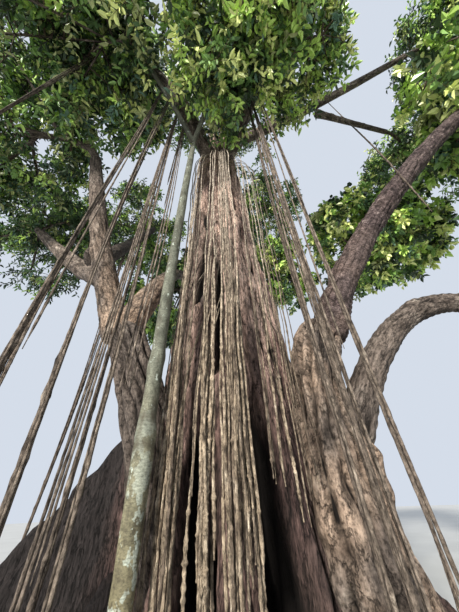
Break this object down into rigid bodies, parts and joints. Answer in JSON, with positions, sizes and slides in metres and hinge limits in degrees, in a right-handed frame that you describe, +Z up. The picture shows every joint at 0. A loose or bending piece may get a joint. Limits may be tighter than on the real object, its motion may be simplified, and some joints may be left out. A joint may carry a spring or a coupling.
{
  "type": "banyan tree",
  "caption": "Old banyan tree with a fluted, buttressed trunk, side stems, spreading boughs, hanging aerial roots and a crown of leafy masses.",
  "frame": {"origin": "middle of the flat cut under the trunk at ground level", "axes": "+Z up; the side the picture shows faces -Y; +X to its right"},
  "size_m": [19.9095, 15.3319, 19.3694],
  "materials": {
    "trunk_bark": "rough fluted bark, reddish brown",
    "bough_bark": "rough bark, grey brown with ring marks",
    "root_bark": "fibrous bark, grey tan",
    "pillar_bark": "smooth bark, grey green with pale lichen",
    "foliage": "leathery leaves, dark green to yellow green"
  },
  "bodies": {
    "root": {"trunk": "trunk_bark", "left_stem": "bough_bark", "right_stem": "bough_bark", "front_pillar": "pillar_bark", "left_outer_bough": "bough_bark", "left_inner_bough": "bough_bark", "grey_bough": "bough_bark", "left_back_bough": "bough_bark", "right_bough": "bough_bark", "right_low_bough": "bough_bark", "right_low_bough_end": "bough_bark", "right_back_bough": "bough_bark", "back_bough": "bough_bark", "high_left_bough": "bough_bark", "high_front_bough": "bough_bark", "high_right_bough": "bough_bark", "high_right_fork": "bough_bark", "high_back_bough": "bough_bark", "leader": "bough_bark", "pillar_left_fork": "pillar_bark", "pillar_right_fork": "pillar_bark", "hanging_root_01": "root_bark", "hanging_root_02": "root_bark", "hanging_root_03": "root_bark", "hanging_root_04": "root_bark", "hanging_root_05": "root_bark", "hanging_root_06": "root_bark", "hanging_root_07": "root_bark", "hanging_root_08": "root_bark", "hanging_root_09": "root_bark", "hanging_root_10": "root_bark", "hanging_root_11": "root_bark", "hanging_root_12": "root_bark", "hanging_root_13": "root_bark", "hanging_root_14": "root_bark", "root_curtain_1": "root_bark", "root_curtain_2": "root_bark", "root_curtain_3": "root_bark", "root_curtain_4": "root_bark", "leaves_front_left": "foliage", "leaves_front": "foliage", "leaves_left": "foliage", "leaves_far_left": "foliage", "leaves_left_back": "foliage", "leaves_back_left": "foliage", "leaves_right_low": "foliage", "leaves_right": "foliage", "leaves_right_back": "foliage", "leaves_back": "foliage", "leaves_high_right": "foliage", "leaves_high_right_back": "foliage", "leaves_high_front": "foliage", "leaves_high_left": "foliage", "leaves_high_back": "foliage", "leaves_top": "foliage"}
  },
  "joints": []
}
